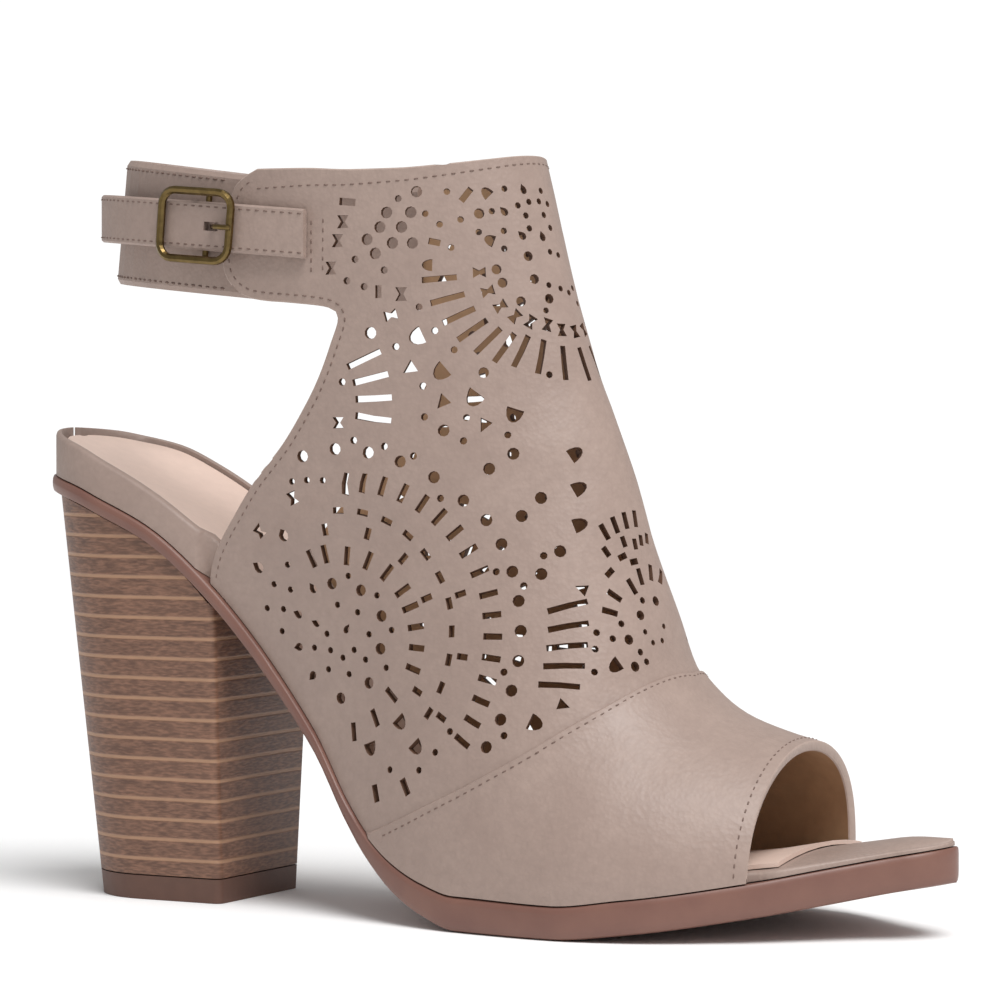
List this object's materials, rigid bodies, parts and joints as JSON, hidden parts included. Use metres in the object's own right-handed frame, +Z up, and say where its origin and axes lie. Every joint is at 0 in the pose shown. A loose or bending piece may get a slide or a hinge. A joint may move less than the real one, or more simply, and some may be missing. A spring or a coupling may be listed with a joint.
{
  "type": "block heel sandal",
  "caption": "Right open-back peep-toe bootie sandal with a stacked block heel, perforated upper, ankle band and buckled strap.",
  "frame": {"origin": "on the floor under the middle of the shoe's box", "axes": "+X from heel to toe, +Y towards the inner (medial) side of this right shoe, +Z up"},
  "size_m": [0.236, 0.0847, 0.1809],
  "materials": {
    "upper_leather": "taupe smooth leather",
    "sock": "pinkish cream sock leather",
    "sole": "brown moulded sole, satin",
    "stacked_heel": "stacked layers, satin",
    "toplift": "dark brown, matte",
    "buckle": "antique brass"
  },
  "bodies": {
    "root": {"outsole": "sole", "footbed": "upper_leather", "sock_lining": "sock", "heel_block": "stacked_heel", "toplift": "toplift", "upper": "upper_leather", "back_cuff": "upper_leather", "ankle_strap": "upper_leather", "buckle_frame": "buckle", "buckle_prong": "buckle", "buckle_loop": "upper_leather"}
  },
  "joints": []
}
